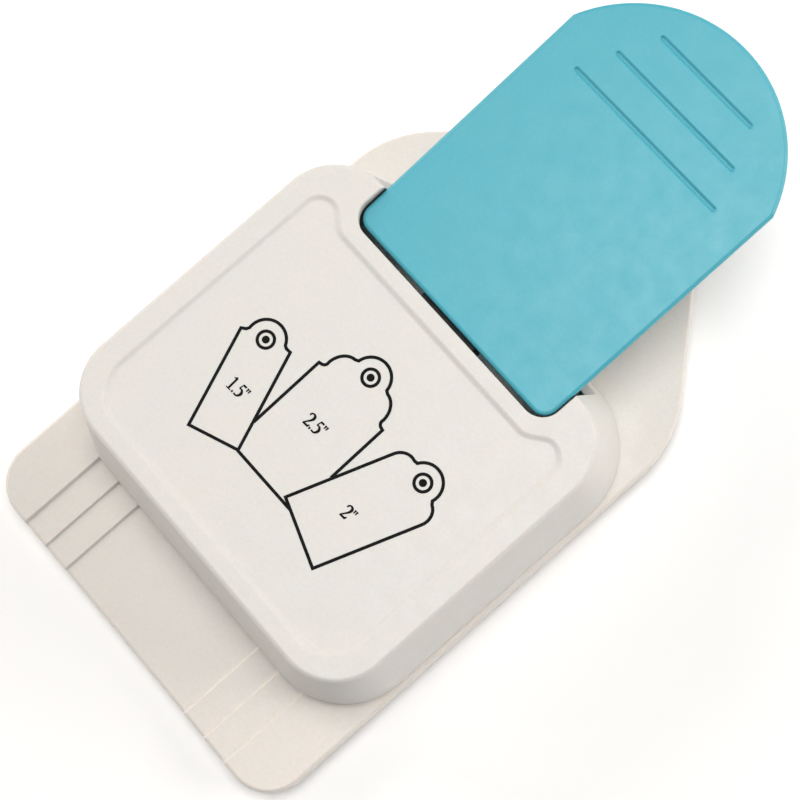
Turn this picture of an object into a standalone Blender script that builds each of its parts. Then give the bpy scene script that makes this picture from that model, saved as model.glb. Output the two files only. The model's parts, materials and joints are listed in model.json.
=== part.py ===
"""Craft punch that shapes the end of a paper strip into a luggage-tag end with an eyelet hole.

A strip of paper slides from the front along a stepped channel, under the head, and between a
die plate and a guide plate. Pressing the lever turns a steel arm on its pivot pin, and the arm's
press pin drives the punch holder down its two guide posts against two return springs.

Lengths are in millimetres until they reach a mesh. X is to the right, Y runs from the front edge
of the base to the back, Z is up. The root empty moves the base's front edge to -TOTAL_LENGTH / 2,
so the origin lies under the middle of the whole punch, on the table.
"""

import math

import bmesh
import bpy
from mathutils import Matrix, Vector

MM = 0.001

# Overall shape
TOTAL_LENGTH = 163.08
GAP = 0.3  # between pieces that rest on each other
BEYOND = 5.0  # how far a cutter runs past the piece it cuts

# Base
BASE_HALF_WIDTH = 44.3
BASE_REAR_Y = 137.0
BASE_REAR_HALF_WIDTH = 20.5
BASE_SHOULDER_Y = 109.7
BASE_BOTTOM_Z = 1.5
DECK_Z = 9.0
CHANNEL_HALF_WIDTHS = (31.75, 25.4, 19.05)  # strips of 2.5, 2 and 1.5 inches
CHANNEL_FLOORS_Z = (8.4, 7.9, 7.4)
CHANNEL_END_Y = 33.0
BASE_CAVITY_Z = 3.6
BASE_HOLLOW_HALF_WIDTH = 28.0
BASE_HOLLOWS_Y = {"front": (4.0, 46.0), "rear": (77.0, 101.0)}
FOOT_RADIUS = 5.5
FOOT_PLACES = {
    "front_left": (-35.0, 10.0),
    "front_right": (35.0, 10.0),
    "rear_left": (-31.0, 110.0),
    "rear_right": (31.0, 110.0),
}

# Die set
PLATE_HALF_WIDTH = 33.5
PLATE_FRONT_Y = 31.0
PLATE_REAR_Y = 88.0
PLATE_EAR_HALF_WIDTH = 40.0
PLATE_EAR_YS = (50.0, 74.0)
PLATE_EAR_HALF_LENGTH = 4.0
DIE_Z = (5.4, 7.4)
RAIL_Z = (DIE_Z[1] + GAP, 9.1)
RAIL_HALF_GAP = 32.1  # between the rails, for the widest strip and the punch
GUIDE_Z = (9.4, 11.4)
DIE_SCREW_X = 36.6
DIE_SCREW_END_Z = 3.0
SCREW_SHANK = 1.5
SCREW_HEAD = 2.7
SCREW_CLEARANCE = 1.85

# Tag end that the punch cuts
PUNCH_Y = 62.0
PUNCH_HALF_WIDTH = 31.8
PUNCH_FRONT_Y = 50.5
PUNCH_REAR_Y = 72.5
EYELET_Y = 59.0
EYELET_RADIUS = 2.6
NECK_RADIUS = 8.0
EYELET_SPIGOT_RADIUS = 1.8
PUNCH_CLEARANCE = 0.3
PUNCH_SCREW = (24.0, 65.0)
BLADE_BOTTOM_Z = 10.8
PUNCH_SCREW_END_Z = 13.4

# Punch holder and its guides
HOLDER_Z = (17.4, 20.4)
HOLDER_Y = (51.0, 73.0)
HOLDER_HALF_WIDTH = 34.0
HOLDER_EAR_HALF_WIDTH = 39.2
HOLDER_EAR_HALF_LENGTH = 3.2
POST_X = 36.5
POST_RADIUS = 1.5
POST_Z = (5.0, 23.4)
POST_CLIP_Z = 20.8
SPRING_SEAT_Z = 6.3
SPRING_SEAT_RADIUS = 3.0
SPRING_RADIUS = 2.2
SPRING_WIRE = 0.35
SPRING_COILS = 5.5
WEAR_PAD_Z = (20.7, 22.2)

# Lever, in a frame at its pivot that is tilted up towards the back at rest
PIVOT_Y = 34.0
PIVOT_Z = 27.0
PIVOT_RADIUS = 3.0
PIVOT_CLEARANCE = 0.08
LEVER_TILT = math.radians(6.4)
ARM_HALF_WIDTH = 7.3
ARM_SHEET = 1.8
ARM_TOP = 0.97
ARM_END = 112.0
CAP_FRONT = 56.0
CAP_TOP = 3.5
CAP_FRONT_HALF_WIDTH = 26.55
CAP_HALF_WIDTH = 26.95
CAP_SHOULDER = 56.1
CAP_END_RADIUS = 29.1
CAP_CORNER_RADIUS = 3.1
CAP_EDGE_RADIUS = 0.9
CAP_DRAFT = 0.61
CAP_DEPTH = 6.0
CAP_WALL = 2.2
CAP_SCREW_YS = (70.0, 100.0)
GROOVES = ((49.25, 19.0), (56.8, 15.8), (64.65, 12.15))  # distance from the cap's front, half length
GROOVE_HALF_WIDTH = 0.5
GROOVE_DEPTH = 0.5
PRESS_PIN_RADIUS = 3.0
PRESS_PIN_END = 1.6

# Pivot bracket
BRACKET_SHEET = 2.0
BRACKET_EAR_X = 7.7
BRACKET_FOOT_Z = (GUIDE_Z[1] + GAP, GUIDE_Z[1] + GAP + BRACKET_SHEET)
BRACKET_FOOT_HALF_WIDTH = 27.0
BRACKET_Y = (31.5, 45.0)
BRACKET_SCREW = (21.0, 39.0)

# Head shell
HEAD_TOP_Z = 38.5
HEAD_BOTTOM_Z = 9.3
HEAD_FRONT_Y = 20.4
HEAD_REAR_Y = 105.0
HEAD_WALL = 1.8
HEAD_CEILING_Z = 35.6
PANEL_HALF_WIDTH = 34.7
PANEL_FRONT_Y = 29.8
PANEL_REAR_Y = 87.8
PANEL_WAIST_Y = 84.75  # in front of the lever's notch
PANEL_DEPTH = 0.5
NOTCH_HALF_WIDTH = 27.0
NOTCH_Y = 88.25
NOTCH_CORNER_RADIUS = 4.3
NOTCH_SILL_Z = 17.5
ARM_SLOT_HALF_WIDTH = 9.0
ARM_SLOT_SILL_Z = 12.0
THROAT_HALF_WIDTH = 34.5
THROAT_TOP_Z = 14.0
HEAD_BOSS_X = 36.4
HEAD_BOSS_YS = (38.4, 83.6)
HEAD_BOSS_RADIUS = 2.8
HEAD_SCREW_SHANK = 1.1
HEAD_SCREW_SEAT_Z = 4.4
HEAD_SCREW_END_Z = 20.0

# Colour, roughness and metallic value of each material
FINISHES = {
    "cream_plastic": ((0.80, 0.76, 0.71), 0.55, 0.0),
    "teal_plastic": ((0.11, 0.48, 0.59), 0.45, 0.0),
    "rubber": ((0.05, 0.05, 0.05), 0.9, 0.0),
    "nylon": ((0.75, 0.74, 0.70), 0.5, 0.0),
    "steel_sheet": ((0.55, 0.56, 0.57), 0.35, 1.0),
    "black_steel": ((0.02, 0.02, 0.02), 0.5, 0.0),
    "tool_steel": ((0.45, 0.45, 0.46), 0.25, 1.0),
    "zinc_screw": ((0.62, 0.62, 0.60), 0.3, 1.0),
    "spring_wire": ((0.5, 0.5, 0.5), 0.3, 1.0),
}


def material(slot):
    """The slot's material, made the first time it is asked for."""
    found = bpy.data.materials.get(slot)
    if found:
        return found
    colour, roughness, metallic = FINISHES[slot]
    made = bpy.data.materials.new(slot)
    made.use_nodes = True
    shader = made.node_tree.nodes["Principled BSDF"]
    shader.inputs["Base Color"].default_value = (*colour, 1.0)
    shader.inputs["Roughness"].default_value = roughness
    shader.inputs["Metallic"].default_value = metallic
    return made


def empty(name, parent, place=(0, 0, 0), tilt=0.0):
    """A frame for the pieces that move together, placed in millimetres."""
    made = bpy.data.objects.new(name, None)
    bpy.context.collection.objects.link(made)
    made.parent = parent
    made.location = [c * MM for c in place]
    made.rotation_euler = (tilt, 0, 0)
    return made


def added(name, mesh, slot, parent):
    """A named object for a mesh whose points are in millimetres; no slot makes it a cutter."""
    bmesh.ops.scale(mesh, vec=(MM, MM, MM), verts=mesh.verts)
    bmesh.ops.recalc_face_normals(mesh, faces=mesh.faces)
    data = bpy.data.meshes.new(name)
    mesh.to_mesh(data)
    mesh.free()
    made = bpy.data.objects.new(name, data)
    bpy.context.collection.objects.link(made)
    made.parent = parent
    if slot:
        data.materials.append(material(slot))
        data.shade_smooth()
        data.set_sharp_from_angle(angle=math.radians(30))
    else:
        made.hide_render = True
        made.display_type = "WIRE"
    return made


def loft_mesh(rings):
    """A skin through rings of equally many points, its first and last ring filled."""
    mesh = bmesh.new()
    loops = [[mesh.verts.new(point) for point in ring] for ring in rings]
    for low, high in zip(loops, loops[1:]):
        for i in range(len(low)):
            j = (i + 1) % len(low)
            mesh.faces.new((low[i], low[j], high[j], high[i]))
    mesh.faces.new(loops[0])
    mesh.faces.new(loops[-1])
    return mesh


def prism(name, outline, z_range, slot, parent):
    """An outline in X and Y given a height."""
    rings = [[(x, y, z) for x, y in outline] for z in z_range]
    return added(name, loft_mesh(rings), slot, parent)


def side_prism(name, outline, x_range, slot, parent):
    """An outline in Y and Z given a width along X."""
    rings = [[(x, y, z) for y, z in outline] for x in x_range]
    return added(name, loft_mesh(rings), slot, parent)


def front_prism(name, outline, y_range, slot, parent):
    """An outline in X and Z given a length along Y."""
    rings = [[(x, y, z) for x, z in outline] for y in y_range]
    return added(name, loft_mesh(rings), slot, parent)


def turned(name, profile, slot, parent, place=(0, 0, 0), along_x=False, sides=24):
    """A profile of (radius, height) turned about Z, or laid along X; its ends are flat discs."""
    rings = []
    for radius, height in profile:
        ring = []
        for i in range(sides):
            angle = math.tau * (i + 0.5) / sides
            ring.append((radius * math.cos(angle), radius * math.sin(angle), height))
        rings.append(ring)
    mesh = loft_mesh(rings)
    if along_x:
        mesh.transform(Matrix.Rotation(math.pi / 2, 4, "Y"))
    mesh.transform(Matrix.Translation(Vector(place)))
    return added(name, mesh, slot, parent)


def filleted(corners, steps=6):
    """An anticlockwise outline from (a, b, radius) corners, each rounded by an arc."""
    outline = []
    for i, (a, b, radius) in enumerate(corners):
        here = Vector((a, b))
        before = (Vector(corners[i - 1][:2]) - here).normalized()
        after = (Vector(corners[(i + 1) % len(corners)][:2]) - here).normalized()
        if radius == 0:
            outline.append((a, b))
            continue
        half = before.angle(after) / 2
        reach = radius / math.tan(half)
        centre = here + (before + after).normalized() * (radius / math.sin(half))
        start = here + before * reach - centre
        sweep = (math.pi - 2 * half) * math.copysign(1, -before.cross(after))
        for k in range(steps + 1):
            turn = Matrix.Rotation(sweep * k / steps, 2)
            outline.append(tuple(centre + turn @ start))
    return outline


def rectangle(half_width, low, high, radius=0.0, steps=6):
    """A rounded rectangle, symmetrical about the first axis's zero."""
    corners = [(-half_width, low), (half_width, low), (half_width, high), (-half_width, high)]
    return filleted([(a, b, radius) for a, b in corners], steps)


def circle(x, y, radius, sides=16):
    """A circle as an outline, with a flat side across each axis."""
    angles = [math.tau * (i + 0.5) / sides for i in range(sides)]
    return [(x + radius * math.cos(a), y + radius * math.sin(a)) for a in angles]


def boolean(target, tool, operation):
    """Cuts or joins with a Boolean modifier; the tool isn't part of the punch."""
    tool.hide_render = True
    tool.display_type = "WIRE"
    modifier = target.modifiers.new(f"{operation.lower()}_{tool.name}", "BOOLEAN")
    modifier.operation = operation
    modifier.solver = "EXACT"
    modifier.object = tool


def cut(target, tool):
    boolean(target, tool, "DIFFERENCE")


def joined(target, tool):
    boolean(target, tool, "UNION")


def drill(target, x, y, radius, z_range, parent):
    """A round vertical hole."""
    count = len(target.modifiers)
    hole = prism(f"{target.name}_hole_{count}", circle(x, y, radius), z_range, None, parent)
    cut(target, hole)


def softened(target, width, segments=2):
    """Rounds a piece's sharp edges."""
    bevel = target.modifiers.new("edges", "BEVEL")
    bevel.width = width * MM
    bevel.segments = segments
    bevel.limit_method = "ANGLE"
    bevel.angle_limit = math.radians(40)


# Base


def base_outline(inset=0.0):
    side = BASE_HALF_WIDTH - inset
    rear = BASE_REAR_HALF_WIDTH - inset * 0.4
    shoulder = BASE_SHOULDER_Y - inset * 0.4
    return filleted(
        [
            (-side, inset, 9.0 - inset),
            (side, inset, 9.0 - inset),
            (side, shoulder, 25.0),
            (rear, BASE_REAR_Y - inset, 10.0 - inset),
            (-rear, BASE_REAR_Y - inset, 10.0 - inset),
            (-side, shoulder, 25.0),
        ]
    )


def base_shell(root):
    """Base moulding: stepped strip channel, die pocket, chip window and a shallow hollow below."""
    rings = []
    for inset, z in ((0.5, BASE_BOTTOM_Z), (0, BASE_BOTTOM_Z + 0.6), (0, DECK_Z - 0.9)):
        rings.append([(x, y, z) for x, y in base_outline(inset)])
    rings.append([(x, y, DECK_Z - 0.27) for x, y in base_outline(0.27)])
    rings.append([(x, y, DECK_Z) for x, y in base_outline(0.9)])
    base = added("base_shell", loft_mesh(rings), "cream_plastic", root)
    for i, (half, floor) in enumerate(zip(CHANNEL_HALF_WIDTHS, CHANNEL_FLOORS_Z)):
        outline = rectangle(half, -BEYOND, CHANNEL_END_Y)
        cut(base, prism(f"channel_{i}", outline, (floor, DECK_Z + BEYOND), None, root))
    pocket = filleted([(x, y, 0) for x, y in plate_outline(GAP)])
    cut(base, prism("die_pocket", pocket, (DIE_Z[0] - GAP, DECK_Z + BEYOND), None, root))
    window = rectangle(PUNCH_HALF_WIDTH, PUNCH_FRONT_Y + 0.5, PUNCH_REAR_Y - 0.5, 2.0)
    cut(base, prism("chip_window", window, (0, DECK_Z), None, root))
    for name, (low, high) in BASE_HOLLOWS_Y.items():
        hollow = rectangle(BASE_HOLLOW_HALF_WIDTH, low, high, 3.0)
        cut(base, prism(f"{name}_hollow", hollow, (0, BASE_CAVITY_Z), None, root))
    for side in (-1, 1):
        for y in HEAD_BOSS_YS:
            drill(base, side * HEAD_BOSS_X, y, HEAD_SCREW_SHANK + 0.4, (0, DECK_Z + 1), root)
            drill(base, side * HEAD_BOSS_X, y, SCREW_HEAD + 0.4, (0, HEAD_SCREW_SEAT_Z), root)
        for y in PLATE_EAR_YS:
            z_range = (DIE_SCREW_END_Z - 0.4, DECK_Z + 1)
            drill(base, side * DIE_SCREW_X, y, SCREW_CLEARANCE, z_range, root)
        drill(base, side * POST_X, PUNCH_Y, SPRING_SEAT_RADIUS, (SPRING_SEAT_Z, DECK_Z + 1), root)
        drill(base, side * POST_X, PUNCH_Y, POST_RADIUS + GAP, (POST_Z[0] - GAP, DECK_Z), root)


def feet(root):
    """Four rubber feet stuck under the base."""
    for place, (x, y) in FOOT_PLACES.items():
        profile = [(FOOT_RADIUS - 0.4, 0.0), (FOOT_RADIUS, 0.4), (FOOT_RADIUS, BASE_BOTTOM_Z - GAP)]
        turned(f"foot_{place}", profile, "rubber", root, (x, y, 0))


# Die set


def plate_outline(grow=0.0):
    """Both plates: a rectangle with an ear for each screw."""
    side = PLATE_HALF_WIDTH + grow
    ear = PLATE_EAR_HALF_WIDTH + grow
    half = [(0.0, PLATE_FRONT_Y - grow), (side, PLATE_FRONT_Y - grow)]
    for y in PLATE_EAR_YS:
        low = y - PLATE_EAR_HALF_LENGTH - grow
        high = y + PLATE_EAR_HALF_LENGTH + grow
        half += [(side, low), (ear, low), (ear, high), (side, high)]
    half += [(side, PLATE_REAR_Y + grow), (0.0, PLATE_REAR_Y + grow)]
    return half[1:-1] + [(-x, y) for x, y in reversed(half[1:-1])]


def arc(a, b, radius_a, radius_b, start, end, steps):
    """Points of an elliptical arc about (a, b), between two angles in degrees."""
    angles = [math.radians(start + (end - start) * k / steps) for k in range(steps + 1)]
    return [(a + radius_a * math.cos(t), b + radius_b * math.sin(t)) for t in angles]


def tag_end():
    """Right half of the tag's end: shoulder, scallop and round neck, up to its top."""
    points = [(29.3, PUNCH_FRONT_Y)]
    points += arc(19.5, 50.5, 9.8, 8.0, 10, 72, 4)
    points += arc(11.5, 54.6, 8.0, 6.4, 12, 85, 4)
    points += arc(0.0, EYELET_Y + 1.5, NECK_RADIUS, NECK_RADIUS, 8, 90, 6)
    return points


def grown(outline, distance):
    """An anticlockwise outline moved outwards, its corners kept sharp."""
    moved = []
    for i, (x, y) in enumerate(outline):
        here = Vector((x, y))
        before = (here - Vector(outline[i - 1])).normalized()
        after = (Vector(outline[(i + 1) % len(outline)]) - here).normalized()
        outwards = Vector((before.y + after.y, -before.x - after.x)).normalized()
        lean = outwards.dot(Vector((before.y, -before.x)))
        moved.append(tuple(here + outwards * (distance / lean)))
    return moved


def punch_outline(grow=0.0):
    """The waste around the tag's end: a block with the tag's end cut out of its front."""
    inner = tag_end()
    outline = [(PUNCH_HALF_WIDTH, PUNCH_FRONT_Y), (PUNCH_HALF_WIDTH, PUNCH_REAR_Y)]
    outline += [(-PUNCH_HALF_WIDTH, PUNCH_REAR_Y), (-PUNCH_HALF_WIDTH, PUNCH_FRONT_Y)]
    outline += [(-x, y) for x, y in inner[:-1]] + list(reversed(inner))
    return grown(outline, grow)


def cut_tag(target, z_range, parent):
    """Opens a plate for the punch and for the eyelet punch."""
    opening = punch_outline(PUNCH_CLEARANCE)
    cut(target, prism(f"{target.name}_opening", opening, z_range, None, parent))
    drill(target, 0, EYELET_Y, EYELET_RADIUS + PUNCH_CLEARANCE, z_range, parent)


def plate_screw_holes(target, z_range, parent):
    for side in (-1, 1):
        for y in PLATE_EAR_YS:
            drill(target, side * DIE_SCREW_X, y, SCREW_CLEARANCE, z_range, parent)


def die_plate(root):
    """Hardened die with the openings that the punches enter."""
    die = prism("die_plate", plate_outline(), DIE_Z, "tool_steel", root)
    cut_tag(die, (DIE_Z[0] - 1, DIE_Z[1] + 1), root)
    plate_screw_holes(die, (DIE_Z[0] - 1, DIE_Z[1] + 1), root)


def guide_plate(root):
    """Upper plate that guides the punches and strips the paper off them."""
    guide = prism("guide_plate", plate_outline(), GUIDE_Z, "steel_sheet", root)
    cut_tag(guide, (GUIDE_Z[0] - 1, GUIDE_Z[1] + 1), root)
    plate_screw_holes(guide, (GUIDE_Z[0] - 1, GUIDE_Z[1] + 1), root)
    x, y = BRACKET_SCREW
    for side in (-1, 1):
        drill(guide, side * x, y, SCREW_CLEARANCE, (GUIDE_Z[0] - 1, GUIDE_Z[1] + 1), root)


def edge_rails(root):
    """A spacer on each side, which also guides the edge of the widest strip."""
    for name, side in (("left", -1), ("right", 1)):
        half = [p for p in plate_outline() if p[0] > 0]
        outline = [(side * RAIL_HALF_GAP, PLATE_FRONT_Y), *[(side * x, y) for x, y in half]]
        outline.append((side * RAIL_HALF_GAP, PLATE_REAR_Y))
        rail = prism(f"edge_rail_{name}", outline, RAIL_Z, "steel_sheet", root)
        for y in PLATE_EAR_YS:
            z_range = (RAIL_Z[0] - 1, RAIL_Z[1] + 1)
            drill(rail, side * DIE_SCREW_X, y, SCREW_CLEARANCE, z_range, root)


def screw(name, place, head_z, end_z, parent, shank=SCREW_SHANK, head=SCREW_HEAD, thick=1.8):
    """Pan-head screw whose head's flat side is at head_z; the shank runs to end_z."""
    up = 1 if head_z > end_z else -1
    profile = [
        (shank * 0.6, end_z),
        (shank, end_z + up * shank * 0.6),
        (shank, head_z),
        (head, head_z),
        (head, head_z + up * thick * 0.45),
        (head * 0.72, head_z + up * thick),
    ]
    made = turned(name, profile, "zinc_screw", parent, (*place, 0), sides=12)
    top = head_z + up * thick
    slot_z = sorted((top - up * thick * 0.5, top + up))
    x, y = place
    slot = [(x - head, y - 0.4), (x + head, y - 0.4), (x + head, y + 0.4), (x - head, y + 0.4)]
    cut(made, prism(f"{name}_slot", slot, slot_z, None, parent))
    return made


def die_screws(root):
    """Four screws that clamp guide plate, rails and die plate to the base."""
    for name, y in zip(("front", "rear"), PLATE_EAR_YS):
        for side_name, side in (("left", -1), ("right", 1)):
            place = (side * DIE_SCREW_X, y)
            screw(f"die_screw_{name}_{side_name}", place, GUIDE_Z[1] + GAP, DIE_SCREW_END_Z, root)


# Pivot bracket and pin


def pivot_bracket(root):
    """Folded steel bracket: a foot on the guide plate and two ears that hold the pivot pin."""
    low, high = BRACKET_Y
    foot = rectangle(BRACKET_FOOT_HALF_WIDTH, low, high, 2.5)
    bracket = prism("pivot_bracket", foot, BRACKET_FOOT_Z, "steel_sheet", root)
    crown = []
    for k in range(9):
        angle = math.pi * k / 8
        crown.append((PIVOT_Y + 6.0 * math.cos(angle), PIVOT_Z + 6.0 * math.sin(angle)))
    ear = [(low + 0.5, BRACKET_FOOT_Z[0] + 0.5), (high - 0.5, BRACKET_FOOT_Z[0] + 0.5), *crown]
    for name, side in (("left", -1), ("right", 1)):
        x_range = sorted((side * BRACKET_EAR_X, side * (BRACKET_EAR_X + BRACKET_SHEET)))
        joined(bracket, side_prism(f"ear_{name}", ear, x_range, None, root))
    bore = [(PIVOT_RADIUS + PIVOT_CLEARANCE, x) for x in (-15, 15)]
    cut(bracket, turned("bracket_bore", bore, None, root, (0, PIVOT_Y, PIVOT_Z), True, 32))
    x, y = BRACKET_SCREW
    for side in (-1, 1):
        drill(bracket, side * x, y, SCREW_CLEARANCE, (10, 15), root)


def bracket_screws(root):
    x, y = BRACKET_SCREW
    for name, side in (("left", -1), ("right", 1)):
        head_z = BRACKET_FOOT_Z[1] + GAP
        screw(f"bracket_screw_{name}", (side * x, y), head_z, GUIDE_Z[0] + GAP, root)


def pivot_pin(root):
    """Headed pin through bracket and arm, grooved for its retaining clip."""
    inside = BRACKET_EAR_X + BRACKET_SHEET + GAP
    profile = [
        (4.0, -inside - 1.6),
        (4.2, -inside - 1.3),
        (4.2, -inside),
        (PIVOT_RADIUS, -inside),
        (PIVOT_RADIUS, inside),
        (2.3, inside),
        (2.3, inside + 1.0),
        (PIVOT_RADIUS, inside + 1.0),
        (PIVOT_RADIUS, inside + 2.0),
        (PIVOT_RADIUS - 0.5, inside + 2.5),
    ]
    turned("pivot_pin", profile, "tool_steel", root, (0, PIVOT_Y, PIVOT_Z), True, 32)


def clip_outline(inner, outer, steps=20):
    """An open ring with its mouth towards -b."""
    mouth = math.radians(38)
    angles = [-math.pi / 2 + mouth + (math.tau - 2 * mouth) * k / steps for k in range(steps + 1)]
    outside = [(outer * math.cos(a), outer * math.sin(a)) for a in angles]
    inside = [(inner * math.cos(a), inner * math.sin(a)) for a in reversed(angles)]
    return outside + inside


def clips(root):
    """Spring clips: one on the pivot pin and one on each guide post."""
    ring = [(PIVOT_Y + a, PIVOT_Z + b) for a, b in clip_outline(2.6, 4.8)]
    start = BRACKET_EAR_X + BRACKET_SHEET + GAP + 0.2
    side_prism("pivot_clip", ring, (start, start + 0.6), "spring_wire", root)
    for name, side in (("left", -1), ("right", 1)):
        x = side * POST_X
        ring = [(x + a, PUNCH_Y + b) for a, b in clip_outline(1.35, 2.9)]
        prism(f"post_clip_{name}", ring, (POST_CLIP_Z, POST_CLIP_Z + 0.6), "spring_wire", root)


# Guides and springs


def guide_posts(root):
    """Two posts pressed into the base, which the punch holder slides on."""
    low, high = POST_Z
    groove = POST_CLIP_Z - 0.2
    profile = [
        (POST_RADIUS, low),
        (POST_RADIUS, groove),
        (1.05, groove),
        (1.05, groove + 1.0),
        (POST_RADIUS, groove + 1.0),
        (POST_RADIUS, high - 0.4),
        (POST_RADIUS - 0.4, high),
    ]
    for name, side in (("left", -1), ("right", 1)):
        turned(f"guide_post_{name}", profile, "tool_steel", root, (side * POST_X, PUNCH_Y, 0), sides=16)


def return_springs(root):
    """Two compression springs round the posts, from their seats in the base to the holder."""
    low = SPRING_SEAT_Z + GAP + SPRING_WIRE
    high = HOLDER_Z[0] - GAP - SPRING_WIRE
    per_coil = 11
    count = int(SPRING_COILS * per_coil)
    for name, side in (("left", -1), ("right", 1)):
        curve = bpy.data.curves.new(f"return_spring_{name}", "CURVE")
        curve.dimensions = "3D"
        curve.bevel_depth = SPRING_WIRE * MM
        curve.bevel_resolution = 1
        curve.use_fill_caps = True
        spline = curve.splines.new("POLY")
        spline.points.add(count)
        for i, point in enumerate(spline.points):
            angle = math.tau * i / per_coil
            share = i / count
            eased = share - math.sin(math.tau * share) / math.tau * 0.6
            x = side * POST_X + SPRING_RADIUS * math.cos(angle)
            y = PUNCH_Y + SPRING_RADIUS * math.sin(angle)
            z = low + (high - low) * eased
            point.co = (x * MM, y * MM, z * MM, 1)
        curve.materials.append(material("spring_wire"))
        made = bpy.data.objects.new(f"return_spring_{name}", curve)
        bpy.context.collection.objects.link(made)
        made.parent = root


# Punch: what slides down together


def punch_holder(punch):
    """Steel plate that carries the punches and slides on the posts."""
    front, rear = HOLDER_Y
    low, high = PUNCH_Y - HOLDER_EAR_HALF_LENGTH, PUNCH_Y + HOLDER_EAR_HALF_LENGTH
    side, ear = HOLDER_HALF_WIDTH, HOLDER_EAR_HALF_WIDTH
    right = [(side, front, 3.0), (side, low, 0), (ear, low, 2.6)]
    right += [(ear, high, 2.6), (side, high, 0), (side, rear, 3.0)]
    left = [(-x, y, radius) for x, y, radius in reversed(right)]
    holder = prism("punch_holder", filleted(right + left, 4), HOLDER_Z, "steel_sheet", punch)
    z_range = (HOLDER_Z[0] - 1, HOLDER_Z[1] + 1)
    x, y = PUNCH_SCREW
    for side in (-1, 1):
        drill(holder, side * POST_X, PUNCH_Y, POST_RADIUS + 0.1, z_range, punch)
        drill(holder, side * x, y, SCREW_CLEARANCE, z_range, punch)
    drill(holder, 0, EYELET_Y, EYELET_SPIGOT_RADIUS + GAP, z_range, punch)


def tag_punch(punch):
    """Hardened block whose lower edge shears the tag's end."""
    z_range = (BLADE_BOTTOM_Z, HOLDER_Z[0] - GAP)
    block = prism("tag_punch", punch_outline(), z_range, "tool_steel", punch)
    x, y = PUNCH_SCREW
    for side in (-1, 1):
        drill(block, side * x, y, SCREW_CLEARANCE, (PUNCH_SCREW_END_Z - 0.4, HOLDER_Z[0]), punch)


def eyelet_punch(punch):
    """Round punch for the tag's hole, with a spigot pressed into the holder."""
    profile = [
        (EYELET_RADIUS, BLADE_BOTTOM_Z),
        (EYELET_RADIUS, HOLDER_Z[0] - GAP),
        (EYELET_SPIGOT_RADIUS, HOLDER_Z[0] - GAP),
        (EYELET_SPIGOT_RADIUS, HOLDER_Z[1] - GAP),
    ]
    turned("eyelet_punch", profile, "tool_steel", punch, (0, EYELET_Y, 0))


def punch_screws(punch):
    x, y = PUNCH_SCREW
    for name, side in (("left", -1), ("right", 1)):
        place = (side * x, y)
        screw(f"punch_screw_{name}", place, HOLDER_Z[1] + GAP, PUNCH_SCREW_END_Z, punch)


def wear_pad(punch):
    """Nylon pad that the arm's press pin bears on."""
    pad = rectangle(4.6, PUNCH_Y - 5.5, PUNCH_Y + 5.5, 1.2)
    softened(prism("wear_pad", pad, WEAR_PAD_Z, "nylon", punch), 0.3)


# Lever: what turns about the pivot pin, in the lever's own tilted frame


def in_lever(y, z):
    """A place above the base's front edge, as the tilted lever frame sees it at rest."""
    return Matrix.Rotation(-LEVER_TILT, 2) @ Vector((y - PIVOT_Y, z - PIVOT_Z))


def lever_arm(lever):
    """Steel channel from the pivot to the end of the cap, open below."""
    side = [
        (-3.0, -5.5, 2.5),
        (36.0, -7.0, 4.0),
        (60.0, -7.0, 6.0),
        (ARM_END, -5.2, 1.5),
        (ARM_END, ARM_TOP, 1.0),
        (53.0, ARM_TOP, 4.0),
        (41.0, 2.2, 4.0),
        (-6.2, 5.2, 5.0),
        (-6.2, -3.4, 3.0),
    ]
    x_range = (-ARM_HALF_WIDTH, ARM_HALF_WIDTH)
    arm = side_prism("lever_arm", filleted(side, 4), x_range, "black_steel", lever)
    inside = [
        (-12.0, -12.0, 0),
        (ARM_END + 5, -12.0, 0),
        (ARM_END + 5, ARM_TOP - ARM_SHEET, 0),
        (52.3, ARM_TOP - ARM_SHEET, 3.0),
        (40.6, 2.2 - ARM_SHEET, 3.0),
        (-12.0, 5.6 - ARM_SHEET, 0),
    ]
    inner = ARM_HALF_WIDTH - ARM_SHEET
    cut(arm, side_prism("arm_inside", filleted(inside, 4), (-inner, inner), None, lever))
    bore = [(PIVOT_RADIUS + PIVOT_CLEARANCE, x) for x in (-15, 15)]
    cut(arm, turned("arm_bore", bore, None, lever, (0, 0, 0), True, 32))
    y, z = in_lever(PUNCH_Y, WEAR_PAD_Z[1] + GAP + PRESS_PIN_RADIUS)
    hole = [(PRESS_PIN_END + 0.1, x) for x in (-15, 15)]
    cut(arm, turned("press_hole", hole, None, lever, (0, y, z), True, 16))
    for at in CAP_SCREW_YS:
        drill(arm, 0, at, SCREW_CLEARANCE, (-9, 5), lever)


def press_pin(lever):
    """Shouldered dowel between the arm's flanges, which pushes the wear pad down."""
    y, z = in_lever(PUNCH_Y, WEAR_PAD_Z[1] + GAP + PRESS_PIN_RADIUS)
    inner = ARM_HALF_WIDTH - ARM_SHEET - GAP
    outer = ARM_HALF_WIDTH + 0.2
    profile = [
        (PRESS_PIN_END, -outer),
        (PRESS_PIN_END, -inner),
        (PRESS_PIN_RADIUS, -inner),
        (PRESS_PIN_RADIUS, inner),
        (PRESS_PIN_END, inner),
        (PRESS_PIN_END, outer),
    ]
    turned("press_pin", profile, "tool_steel", lever, (0, y, z), True, 16)


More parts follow.
